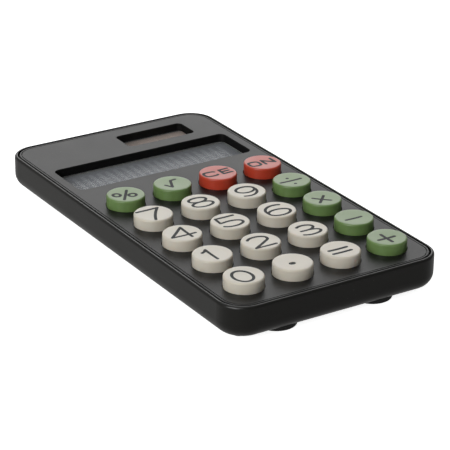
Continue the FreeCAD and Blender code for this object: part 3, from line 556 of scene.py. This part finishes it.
def cap_profile(tall):
    """Section of a cap: dished top, quarter-round edge, straight side, flange, then back up inside to the plunger."""
    flat = CAP_RADIUS - CAP_EDGE_ROUND
    reach = np.linspace(0, flat, 9)
    top = np.stack([reach, dish(np.stack([reach, 0 * reach], axis=-1))], axis=-1)
    angle = np.linspace(0, np.pi / 2, 9)[1:]
    edge = [flat, -CAP_EDGE_ROUND] + CAP_EDGE_ROUND * np.stack([np.sin(angle), np.cos(angle)], axis=-1)
    inside, shelf = CAP_RADIUS - CAP_WALL, FLANGE_HEIGHT - tall
    rest = [
        (CAP_RADIUS, -tall / 2),
        (CAP_RADIUS, shelf),
        (FLANGE_RADIUS, shelf),
        (FLANGE_RADIUS, -tall),
        (inside, -tall),
        (inside, -CAP_ROOF),
        (PLUNGER_RADIUS, -CAP_ROOF),
        (PLUNGER_RADIUS, -tall),
        (0, -tall),
    ]
    return np.concatenate([top, edge, rest])


legend_strokes = {
    "0": [arc(-0.2, 0, 3.45, 4.35, 0, 360)],
    "point": bars((-0.35, 0), (0.35, 0)),
    "equals": [*bars((-3.7, 1.45), (3.7, 1.45)), *bars((-3.7, -1.45), (3.7, -1.45))],
    "plus": [*bars((-3.4, 0), (3.4, 0)), *bars((0, -3.4), (0, 3.4))],
    "minus": bars((-3.3, 0), (3.3, 0)),
    "times": [*bars((-2.4, -2.4), (2.4, 2.4)), *bars((-2.4, 2.4), (2.4, -2.4))],
    "divide": [*bars((-4.6, 0.2), (4.4, 0.2)), *bars((-0.1, 2.8), (0.1, 2.8)), *bars((-0.1, -2.8), (0.1, -2.8))],
    "1": bars((0, -3.9), (0.1, 4.5), (-1.0, 3.3), (-2.2, 2.8)),
    "2": [arc(0.2, 2.2, 3.9, 2.4, 155, -35), *bars((3.39, 0.82), (-4.0, -3.7), (4.3, -3.7))],
    "3": [
        arc(0.2, 2.2, 3.4, 2.0, 140, -82),
        *bars((0.7, 0.2), (-2.6, 0.15)),
        arc(0.1, -1.8, 4.2, 2.0, 82, -145),
    ],
    "4": bars((2.2, -3.6), (2.4, 5.0), (-4.6, -1.3), (4.8, -1.4)),
    "5": [
        *bars((4.2, 4.6), (-3.2, 4.6), (-3.5, 0.6)),
        *bars((-3.5, 0.6), (-2.05, 0.73)),
        arc(0.2, -1.3, 4.5, 2.35, 120, -150),
    ],
    "6": [arc(1.2, -0.3, 5.3, 4.8, 62, 190), arc(0.3, -1.7, 4.4, 2.65, 0, 360)],
    "7": [*bars((-4.4, 4.2), (4.4, 4.3)), bow((4.4, 4.3), (0.9, 0.5), (-1.4, -4.6))],
    "8": [arc(0.4, 2.7, 3.55, 1.9, 0, 360), arc(0.4, -1.4, 4.15, 2.2, 0, 360)],
    "9": [arc(0.6, 1.8, 3.75, 2.55, 0, 360), arc(-0.4, 0.9, 4.8, 4.7, 10, -118)],
    "percent": [
        arc(-2.6, 1.6, 1.4, 1.4, 0, 360),
        arc(2.6, -1.0, 1.4, 1.4, 0, 360),
        *bars((2.8, 3.8), (-2.2, -3.4)),
    ],
    "root": bars((-2.4, 0.5), (-1.0, -2.2), (1.4, 3.4), (3.5, 3.6)),
    "ce": [
        arc(-2.5, 0.8, 2.6, 1.9, 35, 325, 0.55),
        *bars((5.9, 2.7), (2.2, 2.7), (2.2, -1.1), (5.9, -1.1)),
        *bars((2.2, 0.8), (5.3, 0.8)),
    ],
    "on": [arc(-2.9, 0.6, 2.2, 1.9, 0, 360, 0.6), *bars((1.1, -1.3), (1.1, 2.5), (5.2, -1.3), (5.2, 2.5))],
}
legend_lines = {"point": 1.9, "equals": 1.25, "plus": 1.3}


def make_key(name, slot):
    """Cap and printed legend of one key, both riding on its own body. The ink ends level with the key's top."""
    node = f"key_{name}"
    low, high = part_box(node)
    centre = np.array([(low.x + high.x) / 2, (low.y + high.y) / 2, high.z]) / MM - (0, 0, INK_THICKNESS)
    shell = revolved(cap_profile(centre[2] - low.z / MM), centre, CAP_SEGMENTS, flat=FLANGE_FLAT)
    cap = put_piece(f"key_cap_{name}", [shell], finishes[slot], node)
    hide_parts(node)

    shells = []
    for number, path in enumerate(legend_strokes[name]):
        path = np.asarray(path) + LEGEND_CENTRE
        thickness = INK_THICKNESS - 0.001 * number
        line = legend_lines.get(name, LEGEND_LINE)
        flat_points, flat_faces = stroke(path, line, dish, thickness, INK_SINK)
        shells.append((flat_points + centre, flat_faces))
    put_piece(f"legend_{name}", shells, legend_ink, node, sharp=60)


for names, slot in ((WHITE_KEYS, "key_white"), (GREEN_KEYS, "key_green"), (RED_KEYS, "key_red")):
    for name in names:
        make_key(name, slot)


# ---------------------------------------------------------------- display digits


def digit_strokes(x, y):
    """The seven bars of one resting digit about (x, y): four broad uprights and three fine crossbars, each with its
    width. A bar runs between two of the digit's six corners, less half its neighbours' width and a gap."""
    wide, tall = (DIGIT_WIDTH - DIGIT_LINE) / 2, (DIGIT_HEIGHT - DIGIT_LINE) / 2
    corners = np.array([(-wide, tall), (wide, tall), (-wide, 0), (wide, 0), (-wide, -tall), (wide, -tall)])
    corners += (x, y)
    short = DIGIT_LINE / 2 + DIGIT_GAP
    strokes = []
    for ends, line in (((0, 2, 1, 3, 2, 4, 3, 5), DIGIT_LINE), ((0, 1, 2, 3, 4, 5), DIGIT_CROSSBAR)):
        for first, last in zip(ends[::2], ends[1::2]):
            step = corners[last] - corners[first]
            step = step / np.linalg.norm(step) * short
            strokes.append((np.array([corners[first] + step, corners[last] - step]), line))
    return strokes


def make_display_digits():
    """A row of resting digits on the front film, just under the window."""
    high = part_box("lcd_front_polariser")[1]
    window_low, window_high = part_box("display_window")
    place = (window_low + window_high) / 2 / MM
    surface = flat_at(high.z / MM)
    shells = []
    for number in range(DIGIT_COUNT):
        x = place.x + (number - (DIGIT_COUNT - 1) / 2) * DIGIT_PITCH
        for path, line in digit_strokes(x, place.y):
            shells.append(stroke(path, line, surface, DIGIT_THICKNESS, DIGIT_THICKNESS))
    return put_piece("display_digits", shells, segment_film, CASING, sharp=3)


make_display_digits()


# ---------------------------------------------------------------- windows


def rounded_slab(low, high, corner, edge):
    """Closed slab between two corners, with rounded upright corners and a quarter-round edge about its top face.

    Each ring is a rounded rectangle: a corner point pulled in by the corner radius, plus that radius times
    (cos a, sin a). The rings step in and up around a quarter circle from the side to the top face.
    """
    middle, half = (low + high) / 2, (high - low) / 2
    turn = np.linspace(0, 2 * np.pi, 64, endpoint=False) + np.pi / 64
    round_off = np.stack([np.cos(turn), np.sin(turn)], axis=-1)
    side = np.sign(round_off)
    bend = np.linspace(0, np.pi / 2, 6)
    insets = np.concatenate([[half[1] * 0.9, edge * 3], edge * (1 - np.sin(bend)), [0, edge, half[1] * 0.9]])
    heights = np.concatenate([[high[2], high[2]], high[2] - edge * (1 - np.cos(bend)), [low[2]] * 3])
    rings = []
    for inset, height in zip(insets, heights):
        radius = max(corner - inset, 0.02)
        flat = side * (half[:2] - inset - radius) + round_off * radius + middle[:2]
        rings.append(np.concatenate([flat, np.full((len(flat), 1), height)], axis=1))
    poles = [(middle[0], middle[1], heights[end]) for end in (0, -1)]
    return closed_rings(np.array(rings), *poles)


def make_pane(name, node, corner, lift):
    """Clear pane with a softly rounded top edge. It stands lift above the film under it."""
    low, high = (np.array(corner_point) / MM for corner_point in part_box(node))
    pane = rounded_slab(low + (0, 0, lift), high, corner, PANE_EDGE)
    piece = put_piece(name, [pane], finishes["clear_window"], CASING, sharp=40)
    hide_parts(node)


make_pane("display_pane", "display_window", DISPLAY_PANE_CORNER, DISPLAY_PANE_LIFT)
make_pane("solar_pane", "solar_window", SOLAR_PANE_CORNER, SOLAR_PANE_LIFT)


# ---------------------------------------------------------------- silicone mat


def dome_profile(tall):
    """Section of a dome above the sheet: soft-edged crown, sloping wall, thin skirt, hollow, and the pill inside."""
    angle = np.linspace(0, np.pi / 2, 6)
    shoulder = np.stack([np.sin(angle), np.cos(angle)], axis=-1) * DOME_EDGE
    shoulder += (DOME_TOP_RADIUS - DOME_EDGE, tall - DOME_EDGE)
    ceiling = tall - DOME_CROWN
    rest = [
        (DOME_BASE_RADIUS, 0),
        (DOME_BASE_RADIUS, -DOME_ROOT),
        (DOME_BASE_RADIUS - DOME_WALL, -DOME_ROOT),
        (DOME_BASE_RADIUS - DOME_WALL, 0),
        (DOME_TOP_RADIUS - DOME_WALL, ceiling),
        (PILL_RADIUS, ceiling),
        (PILL_RADIUS, 0),
        (0, 0),
    ]
    return np.concatenate([[(0, tall)], shoulder, rest])


def make_mat():
    """Sheet on the board, and a dome under each key."""
    low, high = (np.array(corner_point) / MM for corner_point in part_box("key_mat"))
    sheet_top = low[2] + MAT_THICKNESS
    shell = rounded_slab(low, np.array([high[0], high[1], sheet_top]), MAT_CORNER, MAT_EDGE)
    sheet = put_piece("key_mat_sheet", [shell], finishes["silicone"], CASING, sharp=40)
    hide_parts("key_mat")
    for name in WHITE_KEYS + GREEN_KEYS + RED_KEYS:
        key_low, key_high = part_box(f"key_{name}")
        centre = np.array([(key_low.x + key_high.x) / 2 / MM, (key_low.y + key_high.y) / 2 / MM, sheet_top])
        shell = revolved(dome_profile(high[2] - sheet_top), centre, DOME_SEGMENTS)
        dome = put_piece(f"key_dome_{name}", [shell], finishes["silicone"], CASING, sharp=40)
        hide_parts("key_mat")
        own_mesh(dome)


make_mat()


# ---------------------------------------------------------------- feet


def foot_profile(thick, radius):
    """Section of a foot pad: level top, rounded edge, and shallow rings sunk into the face it stands on.

    Depth of the rings at a distance r from the middle = TREAD_DEPTH times the square of the positive part of
    cos(2 pi r / TREAD_PITCH).
    """
    angle = np.linspace(0, np.pi / 2, 7)
    rounded = [radius - FOOT_EDGE, FOOT_EDGE] + FOOT_EDGE * np.stack([np.cos(angle), -np.sin(angle)], axis=-1)
    reach = np.linspace(radius - FOOT_EDGE - TREAD_MARGIN, 0, 60)
    wave = np.clip(np.cos(reach * 2 * np.pi / TREAD_PITCH), 0, 1) ** 2 * TREAD_DEPTH
    wave[reach < TREAD_CENTRE] = 0
    under = np.stack([reach, wave], axis=-1)
    return np.concatenate([[(0, thick), (radius, thick)], rounded, under])


for end in ("front", "back"):
    for side in ("left", "right"):
        name = f"foot_{end}_{side}"
        low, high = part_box(name)
        middle = (low + high) / 2 / MM
        profile = foot_profile((high.z - low.z) / MM, (high.x - low.x) / 2 / MM)
        pad = revolved(profile, (middle.x, middle.y, low.z / MM), CAP_SEGMENTS)
        piece = put_piece(f"foot_pad_{end}_{side}", [pad], finishes["foot_rubber"], CASING, sharp=40)
        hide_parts(name)


# ---------------------------------------------------------------- battery cover


def make_cover_grips():
    """Raised grip ribs and a plain arrow on the outer face of the battery cover."""
    low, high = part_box("battery_cover")
    place = (low + high) / 2 / MM
    surface = flat_at(-low.z / MM)
    paths = []
    for row in range(GRIP_ROWS):
        y = GRIP_START + GRIP_PITCH * row
        paths += bars((-GRIP_REACH, y), (GRIP_REACH, y))
    paths += bars(*GRIP_ARROW)
    shells = []
    for path in paths:
        points, faces = stroke(path + [place.x, place.y], GRIP_WIDTH, surface, GRIP_HEIGHT, GRIP_SINK)
        points[:, 2] *= -1
        faces = [group[:, ::-1] for group in faces]
        shells.append((points, faces))
    return put_piece("battery_cover_grips", shells, finishes["case_plastic"], CASING, sharp=60)


make_cover_grips()


# ---------------------------------------------------------------- studio


def make_floor():
    """Wide, flat, pale floor under the object. It looks evenly bright and lights the walls above it a little."""
    steps = 13
    place = np.linspace(-FLOOR_SIZE / 2, FLOOR_SIZE / 2, steps)
    x, y = np.meshgrid(place, place, indexing="ij")
    points = np.stack([x, y, 0 * x], axis=-1).reshape(-1, 3)
    row, column = np.meshgrid(np.arange(steps - 1), np.arange(steps - 1), indexing="ij")
    corner = row * steps + column
    faces = np.stack([corner, corner + steps, corner + steps + 1, corner + 1], axis=-1).reshape(-1, 4)
    mesh = bpy.data.meshes.new("studio_floor")
    mesh.from_pydata(points.tolist(), [], faces.tolist())
    floor = bpy.data.objects.new("studio_floor", mesh)
    bpy.context.scene.collection.objects.link(floor)
    material, tree, shader = new_finish("studio_floor")
    shader.inputs["Base Color"].default_value = (0.80, 0.80, 0.80, 1)
    shader.inputs["Roughness"].default_value = 0.9
    shader.inputs["Specular IOR Level"].default_value = 0.0
    shader.inputs["Emission Color"].default_value = (FLOOR_GLOW, FLOOR_GLOW, FLOOR_GLOW, 1)
    lit = tree.nodes.new("ShaderNodeLightPath").outputs["Is Camera Ray"]
    limits = {"To_Min": FLOOR_GLOW_UNSEEN, "To_Max": 1.0}
    glow = add_node(tree, "ShaderNodeMapRange", {"clamp": True}, Value=lit, **limits).outputs[0]
    tree.links.new(glow, shader.inputs["Emission Strength"])
    mesh.materials.append(material)
    floor.visible_glossy = False
    return floor


def direction(azimuth, elevation):
    """Unit vector at an azimuth from +Y towards +X and an elevation above the floor, in degrees."""
    turn, rise = math.radians(azimuth), math.radians(elevation)
    return Vector((math.sin(turn) * math.cos(rise), math.cos(turn) * math.cos(rise), math.sin(rise)))


def make_surround():
    """Tent: dim and even above the horizon, a little brighter below it, with a wide glow off the table behind."""
    world = bpy.data.worlds.new("studio_tent")
    bpy.context.scene.world = world
    world.use_nodes = True
    tree = world.node_tree
    place = tree.nodes.new("ShaderNodeTexCoord").outputs["Generated"]
    split = add_node(tree, "ShaderNodeSeparateXYZ", Vector=place)
    limits = {"From_Min": -HORIZON_SOFTNESS, "From_Max": HORIZON_SOFTNESS, "To_Min": TENT_BELOW, "To_Max": TENT_ABOVE}
    level = add_node(tree, "ShaderNodeMapRange", {"clamp": True}, Value=split.outputs["Z"], **limits).outputs[0]
    glow = tuple(direction(*GLOW_DIRECTION))
    facing = add_node(tree, "ShaderNodeVectorMath", {"operation": "DOT_PRODUCT"}, _0=place, _1=glow).outputs["Value"]
    limits = {"From_Min": 0.0, "From_Max": 0.8, "To_Max": TABLE_GLOW}
    lobe = add_node(tree, "ShaderNodeMapRange", {"clamp": True}, Value=facing, **limits).outputs[0]
    tree.links.new(maths(tree, "ADD", level, lobe), tree.nodes["Background"].inputs["Strength"])
    tree.nodes["Background"].inputs["Color"].default_value = (1.0, 0.995, 0.985, 1)


def make_softbox(name, azimuth, elevation, distance, size, power):
    """Square soft light that faces the middle of the object."""
    light = bpy.data.lights.new(name, "AREA")
    light.shape, light.size, light.energy = "SQUARE", size, power
    lamp = bpy.data.objects.new(name, light)
    lamp.location = direction(azimuth, elevation) * distance
    lamp.rotation_euler = (-lamp.location).to_track_quat("-Z", "Y").to_euler()
    bpy.context.scene.collection.objects.link(lamp)


def make_camera():
    """Camera that looks along a line through its aim point, rolled a little about that line."""
    data = bpy.data.cameras.new("camera")
    data.sensor_width, data.lens = CAMERA_SENSOR, CAMERA_LENS
    data.clip_start, data.clip_end = 0.01, 20.0
    camera = bpy.data.objects.new("camera", data)
    look = direction(CAMERA_AZIMUTH, -CAMERA_ELEVATION)
    turned = look.to_track_quat("-Z", "Y").to_matrix() @ Matrix.Rotation(math.radians(CAMERA_ROLL), 3, "Z")
    place = Vector(CAMERA_AIM) * MM - look * (CAMERA_DISTANCE * MM)
    camera.matrix_world = Matrix.Translation(place) @ turned.to_4x4()
    bpy.context.scene.collection.objects.link(camera)
    bpy.context.scene.camera = camera


make_floor()
make_surround()
for softbox in SOFTBOXES:
    make_softbox(*softbox)
make_camera()
bpy.context.scene.view_settings.view_transform = "Standard"
